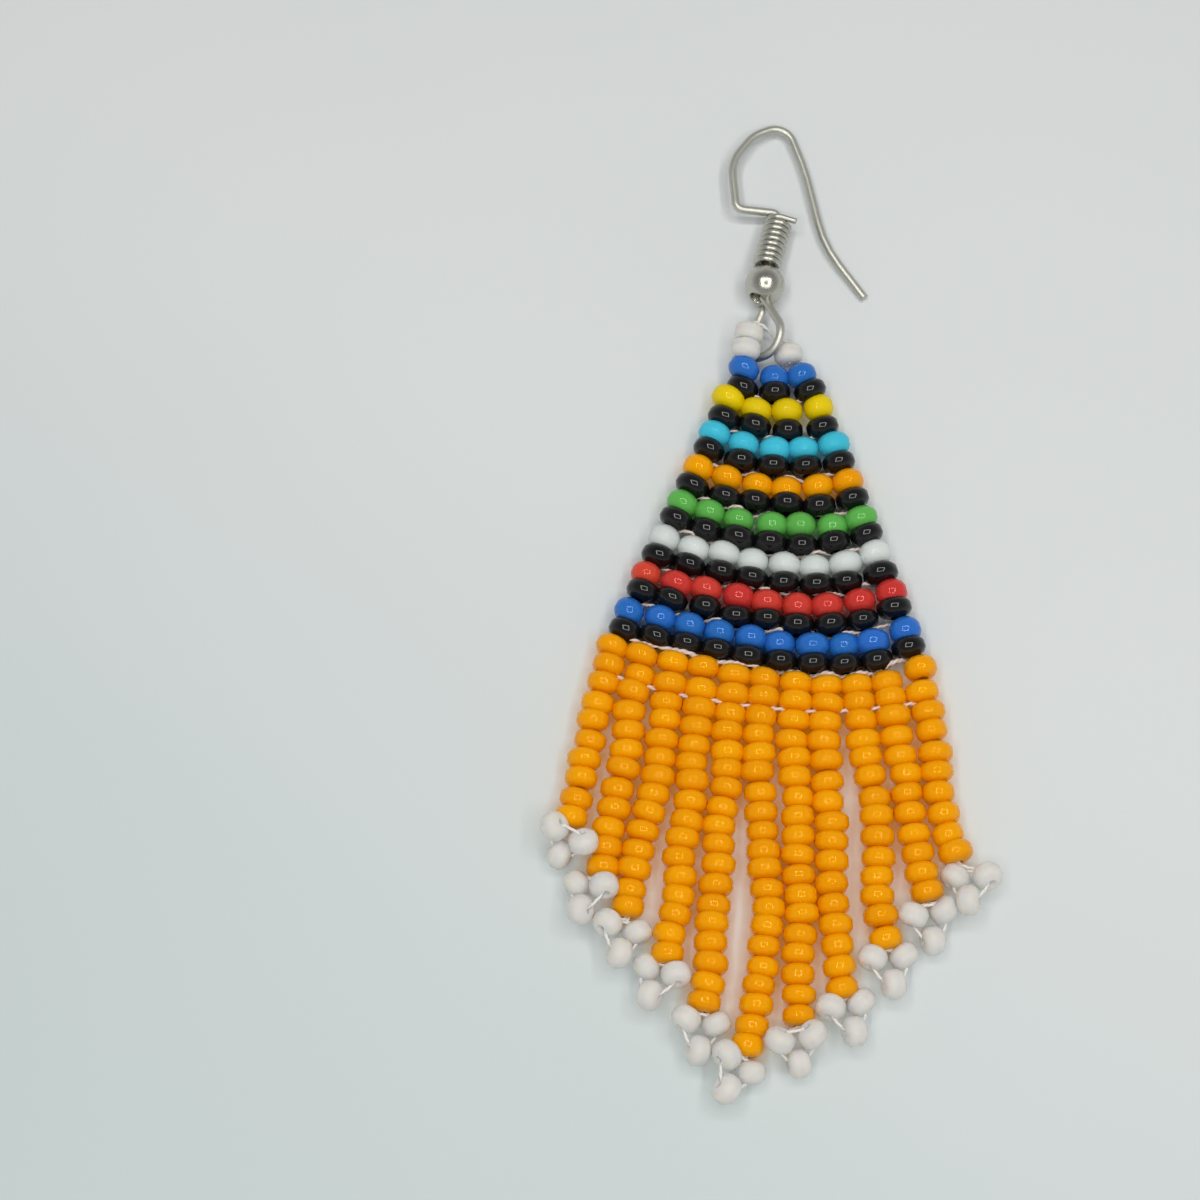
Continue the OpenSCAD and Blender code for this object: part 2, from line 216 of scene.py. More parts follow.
class EarringWire(bpy.types.PropertyGroup):
    wire: length_prop("Wire", "Diameter of the ear wire", 0.7, 0.5, 0.9)
    ball: length_prop("Ball", "Diameter of the ball", 3.3, 2.5, 4)
    bore: length_prop("Bore", "Bore of the ball", 1.5, 1, 2)
    coil_wire: length_prop("Coil wire", "Wire of the coil", 0.5, 0.3, 0.6)
    coil_radius: length_prop("Coil radius", "Mean radius of the coil", 0.93, 0.8, 1.1)
    coil_turns: number_prop("Coil turns", "Turns of the coil", 8.5, 5, 12)


def colour_prop(name, rgb):
    return FloatVectorProperty(name=name, description=f"Colour of the {name.lower()}", subtype="COLOR", size=3,
                               min=0, max=1, default=linear(*rgb))


class EarringColours(bpy.types.PropertyGroup):
    blue: colour_prop("Blue beads", (43, 112, 199))
    black: colour_prop("Black beads", (16, 16, 17))
    yellow: colour_prop("Yellow beads", (231, 203, 0))
    turquoise: colour_prop("Turquoise beads", (70, 197, 224))
    orange: colour_prop("Orange beads", (243, 164, 0))
    green: colour_prop("Green beads", (97, 183, 83))
    white: colour_prop("White beads", (213, 220, 218))
    red: colour_prop("Red beads", (209, 63, 52))
    porcelain: colour_prop("Loop beads", (216, 215, 212))
    thread: colour_prop("Bead thread", (232, 218, 212))
    end_thread: colour_prop("End thread", (240, 238, 234))
    metal: colour_prop("Ear wire", (203, 204, 195))
    table: colour_prop("Table", (222, 226, 226))


class EarringStage(bpy.types.PropertyGroup):
    elevation: angle_prop("Camera elevation", "Height angle of the camera", 71, 6, 86)
    turn: angle_prop("Camera turn", "Turn of the camera about the vertical", 3.2, -57, 57)
    distance: number_prop("Camera distance", "Distance to the point looked at", 0.24, 0.1, 1, unit="LENGTH")
    light: number_prop("Light", "Power of each bar of the square light", 0.235, 0, 20)
    sky: number_prop("Sky", "Strength of the light all round", 0.75, 0, 5)


# ---- objects and meshes


def closed_grid(rows, cols, wrap_rows=True, wrap_cols=True):
    """Quads of a rows by cols grid of points, each way joined to its start where wrapped."""
    idx = np.arange(rows * cols).reshape(rows, cols)
    down = np.roll(idx, -1, 0)
    quads = np.stack([idx, down, np.roll(down, -1, 1), np.roll(idx, -1, 1)], -1)
    quads = quads[: rows if wrap_rows else rows - 1, : cols if wrap_cols else cols - 1]
    return quads.reshape(-1, 4)


def add_object(name, data):
    """Object for a mesh, light or camera, in the scene."""
    obj = bpy.data.objects.new(name, data)
    bpy.context.scene.collection.objects.link(obj)
    return obj


def new_piece(name, points, faces, material, slot, replaces=(), normals=None, values=None):
    """Mesh object from arrays in millimetres: points, a list of face index arrays, and named point values."""
    mesh = bpy.data.meshes.new(name)
    points = (np.asarray(points).reshape(-1, 3) + SHIFT) * MM
    sizes = np.concatenate([np.full(len(f), f.shape[1]) for f in faces])
    corners = np.concatenate([f.reshape(-1) for f in faces])
    mesh.vertices.add(len(points))
    mesh.vertices.foreach_set("co", points.astype(np.float32).ravel())
    mesh.loops.add(len(corners))
    mesh.loops.foreach_set("vertex_index", corners.astype(np.int32))
    mesh.polygons.add(len(sizes))
    mesh.polygons.foreach_set("loop_start", (np.cumsum(sizes) - sizes).astype(np.int32))
    mesh.update(calc_edges=True)
    mesh.shade_smooth()
    for key, value in (values or {}).items():
        layer = mesh.attributes.new(key, "FLOAT", "POINT")
        layer.data.foreach_set("value", np.asarray(value, np.float32).ravel())
    mesh.validate()
    if normals is not None:
        mesh.normals_split_custom_set_from_vertices(np.asarray(normals).reshape(-1, 3).tolist())
    if len(mesh.polygons) != len(sizes):
        raise RuntimeError(f"{name} lost faces")
    mesh.materials.append(material)
    obj = add_object(name, mesh)
    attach(obj, "root")
    if replaces:
        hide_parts(*replaces)


def unit(v):
    return v / np.linalg.norm(v, axis=-1, keepdims=True)


# Points of a bead's profile from one end to the other, how much painted shade each takes toward the hole,
# and how much wider than the hole its ends are
PROFILE_AT = (-1, -0.78, -0.5, -0.2, 0.2, 0.5, 0.78, 1)
PROFILE_PAINTED_SHADE = (1, 0.45, 0.1, 0, 0, 0.1, 0.45, 1)
END_EDGE = 0.03
# Wall inside a drilled bead: its radius as a share of the hole's, where it starts as a share of the half
# length, how far its normals lean out, and how much painted shade it takes
WALL_RADIUS, WALL_START, WALL_LEAN, WALL_PAINTED_SHADE = 0.8, 0.75, 0.32, 1.6


def bead_arrays(centres, axes, width, length, hole, fullness, sides, rng, drilled=False):
    """Points, faces, normals and values of a set of beads; sizes may be one number or one a bead.

    A bead's outside, r from its axis and a along it, is a superellipse cut off at the hole:
    r = width/2 * cos(t)^(2/p), a = half * |sin t|^(2/p) with t's sign, for -end <= t <= end, where p is the
    fullness, r is END_EDGE over the hole's radius at t = end, and half makes a = length/2 there. The
    hole's wall is straight, or, when drilled, leads to a narrower hole. The normals are the
    superellipse's own.
    """
    n = len(centres)
    big, long, hole = (np.broadcast_to(size, n)[:, None] / 2 for size in (width, length, hole))
    end = np.arccos(((hole + END_EDGE) / big) ** (fullness / 2))
    half = long / np.sin(end) ** (2 / fullness)
    c, s = np.cos(end * PROFILE_AT), np.sin(end * PROFILE_AT)
    r = big * c ** (2 / fullness)
    a = half * np.sign(s) * np.abs(s) ** (2 / fullness)
    nr = (r / big) ** (fullness - 1) / big
    na = np.sign(a) * (np.abs(a) / half) ** (fullness - 1) / half
    rim = np.broadcast_to(PROFILE_PAINTED_SHADE, r.shape)
    if drilled:
        both = np.ones((n, 2))
        r = np.concatenate([r, hole * WALL_RADIUS * both], 1)
        a = np.concatenate([a, a[:, [-1, 0]] * WALL_START], 1)
        nr = np.concatenate([nr, -WALL_RADIUS * both], 1)
        na = np.concatenate([na, WALL_LEAN * both * [1, -1]], 1)
        rim = np.concatenate([rim, WALL_PAINTED_SHADE * both], 1)
    z = unit(axes)
    x = unit(np.cross(np.where(np.abs(z[:, 2:]) < 0.8, [[0, 0, 1.0]], [[1.0, 0, 0]]), z))
    y = np.cross(z, x)
    turn = 2 * np.pi * (np.arange(sides)[None, :] + rng.random((n, 1))) / sides
    out = np.cos(turn)[..., None] * x[:, None] + np.sin(turn)[..., None] * y[:, None]
    across, along = out[:, :, None], z[:, None, None]
    points = centres[:, None, None] + r[:, None, :, None] * across + a[:, None, :, None] * along
    normals = unit(nr[:, None, :, None] * across + na[:, None, :, None] * along)
    count = r.shape[1]
    quads = (closed_grid(sides, count)[None] + (np.arange(n) * sides * count)[:, None, None]).reshape(-1, 4)
    tone = np.broadcast_to(rng.random((n, 1, 1)), (n, sides, count))
    # Of the named values, the second is how much painted shade each point takes toward and inside the hole
    return points, [quads], normals, {"bead_tone": tone, "bead_rim": np.repeat(rim[:, None], sides, 1)}


# Form of each kind of bead: [width, length, fullness, scatter, more sides]; the width, length and scatter
# are shares of what the panel says
FORMS = {
    "fringe": (1.12, 1.12, 2.5, 1.4, 0),
    "coloured": (1.08, 1.25, 2.2, 1.6, 4),
    "black": (1.14, 1.09, 2.3, 1.6, 4),
}
# Most that a size may depart, and the scatter of a bead's length and of its place along Y, as shares of the
# other scatters
SIZE_LIMIT, LENGTH_SCATTER, ALONG_SCATTER = 0.05, 1.6, 0.8


def scattered_beads(name, centres, axes, material, stands_for, slot, seed, form):
    """A row or string of beads, each a little off its place, lean and size, from a seeded draw.

    Places and leans stop at twice their spread.
    """
    cfg = bpy.context.scene.earring_beads
    rng = np.random.default_rng(seed)
    n = len(centres)
    widths, lengths, fullness, loose, more_sides = FORMS[form]
    place, lean = cfg.place_scatter / MM, cfg.lean_scatter
    centres = centres + rng.normal(0, 1, (n, 3)).clip(-2, 2) * [place, place * ALONG_SCATTER * loose, place]
    axes = unit(unit(axes) + rng.normal(0, lean, (n, 3)).clip(-2 * lean, 2 * lean))
    wider, longer = rng.normal(0, cfg.size_scatter, (2, n)).clip(-SIZE_LIMIT, SIZE_LIMIT)
    width = cfg.width / MM * widths * (1 + loose * wider)
    length = cfg.length / MM * lengths * (1 + LENGTH_SCATTER * longer)
    centres[:, 2] = np.maximum(centres[:, 2], width / 2)
    points, faces, *rest = bead_arrays(centres, axes, width, length, cfg.hole / MM, fullness,
                                       cfg.sides + more_sides, rng)
    new_piece(name, points, faces, material, slot, [stands_for], *rest)


def white_beads(name, stands_for, centres, axes, width, length, rng):
    """Drilled white beads that stand for one node."""
    points, faces, *rest = bead_arrays(centres, axes, width, length, WHITE_HOLE, WHITE_FULLNESS, WHITE_SIDES,
                                       rng, drilled=True)
    new_piece(name, points, faces, bead_material("porcelain"), "glass_white", [stands_for], *rest)


def run_along(path):
    """Distance of each point of a path from its start."""
    return np.concatenate([[0], np.cumsum(np.linalg.norm(np.diff(path, axis=0), axis=1))])


def points_at(path, run, at):
    """Points of a path at the distances at, straight between its own points, which are run along it."""
    return np.stack([np.interp(at, run, path[:, k]) for k in range(path.shape[1])], 1)


def even_points(path, step, whole=round):
    """Points about every step of a path, straight between its own; whole rounds the number of steps."""
    run = run_along(path)
    return points_at(path, run, np.linspace(0, run[-1], max(2, whole(run[-1] / step) + 1)))


def smooth_line(points, step):
    """Even points along a Catmull-Rom curve through the given ones.

    Between points 1 and 2 the curve is half of 2*p1 + (p2 - p0)*s + (2*p0 - 5*p1 + 4*p2 - p3)*s^2
    + (3*p1 - p0 - 3*p2 + p3)*s^3.
    """
    p = np.array(points, float)
    p = np.concatenate([[2 * p[0] - p[1]], p, [2 * p[-1] - p[-2]]])
    s = np.linspace(0, 1, 24, endpoint=False)[None, :, None]
    a, b, c, d = p[:-3, None], p[1:-2, None], p[2:-1, None], p[3:, None]
    q = 0.5 * (2 * b + (c - a) * s + (2 * a - 5 * b + 4 * c - d) * s ** 2 + (3 * b - a - 3 * c + d) * s ** 3)
    return even_points(np.concatenate([q.reshape(-1, p.shape[1]), p[-2:-1]]), step)


def frames_along(path, closed=False):
    """Two unit vectors across each point of a path, the first of them level."""
    if closed:
        t = unit(np.roll(path, -1, 0) - np.roll(path, 1, 0))
    else:
        t = unit(np.gradient(path, axis=0))
    up = np.where(np.abs(t[:, 2:]) < 0.95, [[0, 0, 1.0]], [[0, 1.0, 0]])
    side = unit(np.cross(t, up))
    return side, np.cross(side, t)


def tube_arrays(path, radius, sides, closed=False, lobes=0.0, lay=1.0):
    """Tube along a path of points: radius * (1 + lobes * cos(2 * (angle - twist))) round each point.

    The twist grows by a full turn in each lay, so two lobes wind round each other like two plies. The last
    value returned is that cosine, which tells a ply from the gap beside it.
    """
    side, up = frames_along(path, closed)
    run = run_along(path)
    if closed:
        total = run[-1] + np.linalg.norm(path[0] - path[-1])
        twist = np.round(total / lay) * 2 * np.pi * run / total
    else:
        twist = 2 * np.pi * run / lay
    ang = 2 * np.pi * np.arange(sides) / sides
    ply = np.cos(2 * (ang[None] - twist[:, None]))
    r = radius * (1 + lobes * ply)
    out = np.cos(ang)[None, :, None] * side[:, None] + np.sin(ang)[None, :, None] * up[:, None]
    points = path[:, None] + r[..., None] * out
    n = len(path)
    faces = [closed_grid(n, sides, wrap_rows=closed)]
    if not closed:
        faces += [np.arange(sides)[None], ((n - 1) * sides + np.arange(sides))[None, ::-1]]
    return points.reshape(-1, 3), faces, ply


def thread_tube(path, share=1.0, closed=False, lobes=0.2):
    """Two-ply thread along a path of points, share of the thread's full width."""
    thread = bpy.context.scene.earring_thread
    return tube_arrays(path, thread.width / MM / 2 * share, 8, closed, lobes, thread.lay / MM)


def thread_piece(name, tubes, kind, replaces=()):
    """One piece of thread from several tubes."""
    points, faces, plies = zip(*tubes)
    first = np.cumsum([0, *map(len, points)])
    faces = [f + start for start, own in zip(first, faces) for f in own]
    new_piece(name, np.concatenate(points), faces, thread_material(kind), "bead_thread", replaces,
              values={"ply": np.concatenate(plies)})


# ---- materials


def set_inputs(n, values):
    """Put numbers and colours on a node's own sockets, a colour with an alpha of 1, and link any outputs."""
    for key, value in values.items():
        socket = n.inputs[key]
        if isinstance(value, bpy.types.NodeSocket):
            n.id_data.links.new(value, socket)
        elif isinstance(value, tuple):
            socket.default_value = (*value, 1)[: len(socket.default_value)]
        else:
            socket.default_value = value


def node(tree, kind, values=None, **settings):
    """New node with its settings and inputs, placed down columns of six in the order made."""
    n = tree.nodes.new(kind)
    n.location = (len(tree.nodes) // 6 * 220, len(tree.nodes) % 6 * -220)
    for key, value in settings.items():
        setattr(n, key, value)
    set_inputs(n, values or {})
    return n


def maths(tree, operation, *values):
    return node(tree, "ShaderNodeMath", dict(enumerate(values)), operation=operation).outputs[0]


def mix_colour(tree, factor, a, b, blend="MIX"):
    return node(tree, "ShaderNodeMix", {0: factor, 6: a, 7: b}, data_type="RGBA", blend_type=blend).outputs[2]


def point_value(tree, name):
    """Value that the mesh holds for each point."""
    return node(tree, "ShaderNodeAttribute", attribute_name=name).outputs["Fac"]


def object_noise(tree, scale, detail=2.0, roughness=0.5):
    """Noise in object coordinates, its scale in cycles a metre."""
    place = node(tree, "ShaderNodeTexCoord").outputs["Object"]
    return node(tree, "ShaderNodeTexNoise", {"Vector": place, "Scale": scale, "Detail": detail,
                                             "Roughness": roughness}).outputs["Fac"]


def split_place(tree, space):
    """X, Y and Z of the shaded place in the given space."""
    place = node(tree, "ShaderNodeTexCoord").outputs[space]
    return node(tree, "ShaderNodeSeparateXYZ", {0: place}).outputs


def soft_step(tree, value, low, high):
    """0 below low, 1 above high, and smooth between."""
    return node(tree, "ShaderNodeMapRange", {"Value": value, "From Min": low, "From Max": high},
                interpolation_type="SMOOTHSTEP").outputs[0]


def bumped(tree, height, distance, strength=1.0):
    """Normal of a surface raised by up to distance millimetres where height is 1."""
    return node(tree, "ShaderNodeBump", {"Strength": strength, "Distance": distance * MM,
                                         "Height": height}).outputs[0]


def new_group(name, inputs):
    """Node group for a finish, the values given to it and its output node; a tuple stands for a colour."""
    group = bpy.data.node_groups.new(name, "ShaderNodeTree")
    outputs = {"Colour": (0, 0, 0, 1), "Roughness": 0.0, "Height": 0.0}
    for way, sockets in (("INPUT", inputs), ("OUTPUT", outputs)):
        for label, value in sockets.items():
            kind = "NodeSocketColor" if isinstance(value, tuple) else "NodeSocketFloat"
            group.interface.new_socket(label, in_out=way, socket_type=kind).default_value = value
    return group, node(group, "NodeGroupInput").outputs, node(group, "NodeGroupOutput")


def bead_glass_group():
    """Bead glass: each bead its own tone, with painted shade toward the hole, faint clouding and fine dimples.
    """
    name = "Bead glass"
    if name in bpy.data.node_groups:
        return bpy.data.node_groups[name]
    g, given, out = new_group(name, {"Colour": (0.8, 0.3, 0.1, 1), "Tone spread": 0.1, "Rim shade": 0.4,
                                     "Roughness": 0.2, "Clouding": 0.1})
    cloud = object_noise(g, 900, 3)
    spread = maths(g, "MULTIPLY", maths(g, "SUBTRACT", point_value(g, "bead_tone"), 0.5), given["Tone spread"])
    haze = maths(g, "MULTIPLY", maths(g, "SUBTRACT", cloud, 0.5), given["Clouding"])
    # Painted shade toward the hole, where neighbouring beads shade each other
    rim = maths(g, "SMOOTH_MIN", point_value(g, "bead_rim"), 1.0, 0.2)
    value = maths(g, "SUBTRACT", maths(g, "ADD", maths(g, "ADD", spread, 1.0), haze),
                  maths(g, "MULTIPLY", rim, given["Rim shade"]))
    hue = maths(g, "MULTIPLY_ADD", spread, 0.06, 0.5)
    tinted = node(g, "ShaderNodeHueSaturation", {"Hue": hue, "Value": value, "Color": given["Colour"]})
    rough = maths(g, "MULTIPLY", maths(g, "MULTIPLY_ADD", cloud, 0.6, 0.7), given["Roughness"])
    set_inputs(out, {"Colour": tinted.outputs[0], "Roughness": rough, "Height": object_noise(g, 5200, 2)})
    return g


def start_material(name):
    mat = bpy.data.materials.new(name)
    mat.use_nodes = True
    return mat, mat.node_tree, mat.node_tree.nodes["Principled BSDF"]


def finish_inputs(tree, finish, values, depth):
    """Colour, roughness and bumps of a depth in mm for a shader, from a node group with the given values."""
    colour, roughness, height = node(tree, "ShaderNodeGroup", values, node_tree=finish).outputs
    return {"Base Color": colour, "Roughness": roughness, "Normal": bumped(tree, height, depth)}


# Finish of each bead colour: [roughness, specular, own colour in it, coat, coat roughness, subsurface,
# subsurface scale in mm, tone spread, painted shade toward the hole, lamp light let through at each surface]
FINISH = {
    "blue": (0.03, 0.55, 0.5, 0.0, 0.03, 0.25, 0.35, 0.16, 0.15, 0.45),
    "black": (0.3, 0.05, 0.0, 0.85, 0.015, 0.0, 0.35, 0.3, 0.0, 0.0),
    "yellow": (0.5, 0.2, 0.5, 0.25, 0.06, 0.3, 0.35, 0.1, 0.15, 0.6),
    "turquoise": (0.06, 0.3, 0.6, 0.0, 0.03, 0.3, 0.35, 0.12, 0.15, 0.5),
    "orange": (0.03, 0.5, 0.72, 0.0, 0.03, 0.4, 0.5, 0.08, 0.08, 0.76),
    "green": (0.03, 0.55, 0.5, 0.0, 0.03, 0.25, 0.35, 0.14, 0.15, 0.5),
    "white": (0.5, 0.2, 0.0, 0.3, 0.06, 0.3, 0.35, 0.06, 0.15, 0.55),
    "red": (0.03, 0.55, 0.5, 0.0, 0.03, 0.25, 0.35, 0.14, 0.15, 0.5),
    "porcelain": (0.5, 0.25, 0.0, 0.15, 0.1, 1.0, 0.8, 0.03, 0.0, 0.72),
}
# Depth of the dimples in mm: the finest, on beads smoother than GLOSSY, leave the light's reflection whole
GLOSSY, FINE_DIMPLE, DIMPLE = 0.1, 0.0005, 0.002


def let_lamps_through(tree, shader, rgb, share):
    """Opal glass: a lamp's light crosses each surface as share times the square root of the colour.

    Two surfaces together then tint it with the bead's own colour, so the shade stays warm and soft.
    """
    clear = node(tree, "ShaderNodeBsdfTransparent", {"Color": tuple(share * math.sqrt(v) for v in rgb)})
    shadow = node(tree, "ShaderNodeLightPath").outputs["Is Shadow Ray"]
    mix = node(tree, "ShaderNodeMixShader", {0: shadow, 1: shader.outputs[0], 2: clear.outputs[0]})
    set_inputs(tree.nodes["Material Output"], {"Surface": mix.outputs[0]})


def bead_material(colour):
    """Glass of one bead colour, with the values of its row in FINISH."""
    name = f"{colour} bead glass"
    if name in bpy.data.materials:
        return bpy.data.materials[name]
    rough, spec, tint, coat, coat_rough, sss, reach, spread, rim, through = FINISH[colour]
    mat, tree, shader = start_material(name)
    rgb = tuple(getattr(bpy.context.scene.earring_colours, colour))
    glass = {"Colour": rgb, "Tone spread": spread, "Rim shade": rim, "Roughness": rough, "Clouding": 0.08}
    set_inputs(shader, {
        **finish_inputs(tree, bead_glass_group(), glass, FINE_DIMPLE if rough < GLOSSY else DIMPLE),
        "Coat Weight": coat, "Coat Roughness": coat_rough, "Coat IOR": 1.45,
        "Specular IOR Level": spec, "Specular Tint": tuple(1 - tint * (1 - v) for v in rgb),
        "Subsurface Weight": sss, "Subsurface Radius": (1.0, 0.75, 0.4), "Subsurface Scale": reach * MM,
    })
    if through:
        let_lamps_through(tree, shader, rgb, through)
    return mat


# Each thread, warm in the rows and clean white in the loops: [name, share of its colour in the painted
# shade between the plies]
THREADS = {"thread": ("Bead thread", (0.76, 0.66, 0.6)), "end_thread": ("End thread", (0.84, 0.82, 0.8))}


def thread_material(kind):
    """Twisted nylon: painted shade between the plies, with fine fibres."""
    name, shade = THREADS[kind]
    if name in bpy.data.materials:
        return bpy.data.materials[name]
    mat, tree, shader = start_material(name)
    rgb = tuple(getattr(bpy.context.scene.earring_colours, kind))
    fibre = object_noise(tree, 9000, 3)
    # Share of the lit colour, low in the painted shade between the plies
    light = maths(tree, "MULTIPLY_ADD", point_value(tree, "ply"), 0.35, 0.6)
    light = maths(tree, "ADD", light, maths(tree, "MULTIPLY_ADD", fibre, 0.5, -0.25))
    painted_gap_shade = tuple(v * f for v, f in zip(rgb, shade))
    set_inputs(shader, {
        "Base Color": mix_colour(tree, light, painted_gap_shade, rgb), "Normal": bumped(tree, fibre, 0.02),
        "Roughness": maths(tree, "MULTIPLY_ADD", fibre, 0.3, 0.45), "Sheen Weight": 0.2,
    })
    return mat


def wire_finish_group():
    """Plated wire: brown tarnish in patches, fine draw marks along the wire, and small dents."""
    name = "Plated wire"
    if name in bpy.data.node_groups:
        return bpy.data.node_groups[name]
    g, given, out = new_group(name, {"Colour": (0.6, 0.57, 0.5, 1), "Tarnish": 0.4, "Roughness": 0.18})
    patch = object_noise(g, 700, 4, 0.6)
    mark = object_noise(g, 6000, 3, 0.6)
    worn = maths(g, "MULTIPLY", maths(g, "POWER", patch, 2.0), given["Tarnish"])
    worn = maths(g, "MINIMUM", maths(g, "MULTIPLY", worn, 2.2), 1.0)
    brown = mix_colour(g, 1.0, given["Colour"], (0.55, 0.43, 0.32), "MULTIPLY")
    rough = maths(g, "MULTIPLY_ADD", worn, 0.25, given["Roughness"])
    rough = maths(g, "MULTIPLY_ADD", maths(g, "SUBTRACT", mark, 0.5), 0.2, rough)
    set_inputs(out, {
        "Colour": mix_colour(g, worn, given["Colour"], brown), "Roughness": maths(g, "MAXIMUM", rough, 0.05),
        "Height": maths(g, "MULTIPLY_ADD", patch, 0.6, mark),
    })
    return g


# Finish of the metal: [tarnish, roughness, depth of its dents in mm]
METAL = {"Ear wire": (0.14, 0.42, 0.004), "Coil wire": (0.2, 0.3, 0.004), "Ball": (0.3, 0.22, 0.008)}


def wire_material(name):
    """Nickel silver for the wire, the coil or the ball, with the values of its row in METAL."""
    tarnish, roughness, dents = METAL[name]
    mat, tree, shader = start_material(name)
    rgb = tuple(bpy.context.scene.earring_colours.metal)
    values = {"Colour": rgb, "Tarnish": tarnish, "Roughness": roughness}
    set_inputs(shader, {**finish_inputs(tree, wire_finish_group(), values, dents), "Metallic": 1.0})
    return mat


# Painted shade on the board toward the near left and painted warm light under the fringe, as shares of its
# colour elsewhere; and the values of y + x / 2, in metres, from which the painted shade fades and where it is
# gone
NEAR_PAINTED_SHADE, WARM_PAINTED_LIGHT, PAINTED_SHADE_FADE = (0.83, 0.895, 0.895), (0.92, 0.855, 0.8), (-0.075, 0.02)
# Wedge of painted warm light under the fringe in mm: X of its middle, half width, Y of its upper edge and of
# its tip, rise of its lower sides, and how far in from its edge the painted light begins and is full
WEDGE_X, WEDGE_HALF, WEDGE_TOP, WEDGE_TIP, WEDGE_RISE, WEDGE_FADE = -0.5, 13.2, -8, -37, 1.1, (-1.5, 2)


def table_material():
    """Pale matt board with faint large clouds and fine grain.

    It has painted shade toward the near left, and painted warm light where light comes through the orange
    fringe. How far in the wedge of painted light a place lies is the least of WEDGE_HALF - |x|, WEDGE_TOP - y
    and y - WEDGE_TIP - WEDGE_RISE * |x|, with x from the wedge's middle.
    """
    mat, tree, shader = start_material("Table")
    cloud, grain = object_noise(tree, 14, 2), object_noise(tree, 900, 3)
    rgb = tuple(bpy.context.scene.earring_colours.table)
    near, warm = (tuple(v * f for v, f in zip(rgb, share)) for share in (NEAR_PAINTED_SHADE, WARM_PAINTED_LIGHT))
    x, y, _ = split_place(tree, "Object")
    # Painted shade toward the near left, fading out along y + x / 2
    away = soft_step(tree, maths(tree, "MULTIPLY_ADD", x, 0.5, y), *PAINTED_SHADE_FADE)
    # How far in the wedge of painted warm light each place lies
    aside = maths(tree, "ABSOLUTE", maths(tree, "SUBTRACT", x, WEDGE_X * MM))
    wedge = maths(tree, "MINIMUM", maths(tree, "SUBTRACT", WEDGE_HALF * MM, aside),
                  maths(tree, "SUBTRACT", WEDGE_TOP * MM, y))
    lower = maths(tree, "SUBTRACT", maths(tree, "MULTIPLY_ADD", aside, -WEDGE_RISE, y), WEDGE_TIP * MM)
    under = soft_step(tree, maths(tree, "MINIMUM", wedge, lower), *(v * MM for v in WEDGE_FADE))
    # Board colour with the painted shade and the painted warm light
    board = mix_colour(tree, under, mix_colour(tree, away, near, rgb), warm)
    haze = mix_colour(tree, cloud, (0.94, 0.95, 0.96), (1.0, 1.0, 1.0))
    set_inputs(shader, {
        "Base Color": mix_colour(tree, 1.0, board, haze, "MULTIPLY"), "Specular IOR Level": 0.25,
        "Roughness": maths(tree, "MULTIPLY_ADD", grain, 0.15, 0.6), "Normal": bumped(tree, grain, 0.02, 0.5),
    })
    return mat


# ---- layout


def beads_in_row(index):
    """Beads in fan row index: each pair of a coloured row and a black one has one more than the last."""
    return index // 2 + FIRST_ROW_BEADS


def row_sag(index, u):
    """How far row index sags at the places u: not at all in the first four pairs, in full in the last."""
    return np.clip((index // 2 - 3) / 4, 0, 1) * np.interp(u, SAG_AT, SAG_BY)


def fan_row(index, u, down=0.0):
    """Points and hole directions of fan row index at the places u, from -1 at its left bead to 1.

    The row is an arc of radius half / sin(angle) with its ends bent toward the hook, turned a little
    about its middle, and moved down toward the fringe.
    """
    fan = bpy.context.scene.earring_fan
    m, black = index // 2, index % 2
    half = fan.across / MM * (beads_in_row(index) - 1) / 2 + BLACK_WIDER * black
    angle = fan.half_angle - fan.flatten * m
    radius = half / math.sin(angle)
    a = np.arcsin(np.clip(np.asarray(u, float) * math.sin(angle), -1, 1))
    x, y = radius * np.sin(a), radius * (1 - np.cos(a)) - down
    slip = ROW_SLIP[index] if index < len(ROW_SLIP) else 0
    middle = (FAN_TOP[0] + slip, FAN_TOP[1] - fan.row_pair / MM * m - fan.black_drop / MM * black)
    c, s = math.cos(fan.turn), math.sin(fan.turn)
    points = np.stack([middle[0] + c * x - s * y, middle[1] + s * x + c * y, np.full_like(x, BEAD_LEVEL)], 1)
    ax, ay = -np.sin(a), np.cos(a)
    return points, np.stack([c * ax - s * ay, s * ax + c * ay, np.zeros_like(x)], 1)


def strand_places(i):
    """Centres and hole directions of the beads of strand i, evenly spaced along its smoothed route."""
    line = smooth_line(ROUTES[i], 0.05)
    at = points_at(line, np.arange(len(line)), np.linspace(0, len(line) - 1, STRAND_BEADS[i]))
    ahead = unit(np.gradient(at, axis=0))
    flat = np.zeros(len(at))
    return np.stack([*at.T, flat + BEAD_LEVEL], 1), np.stack([*ahead.T, flat], 1)


def turned(v, z, x, y):
    """Vectors v turned about Y by y, then about X by x, then about Z by z degrees."""
    z, x, y = np.radians([z, x, y])
    ry = np.array([[math.cos(y), 0, math.sin(y)], [0, 1, 0], [-math.sin(y), 0, math.cos(y)]])
    rx = np.array([[1, 0, 0], [0, math.cos(x), -math.sin(x)], [0, math.sin(x), math.cos(x)]])
    rz = np.array([[math.cos(z), -math.sin(z), 0], [math.sin(z), math.cos(z), 0], [0, 0, 1]])
    return np.asarray(v, float) @ (rz @ rx @ ry).T


def on_ring(i, a, pull=1.0):
    """Points at the angles a of end loop i's ring, from its centre; pull is their share of its radius."""
    a = np.asarray(a, float)
    return PICOT_RING * turned(np.stack([pull * np.cos(a), pull * np.sin(a), 0 * a], -1), *PICOTS[i][2:])


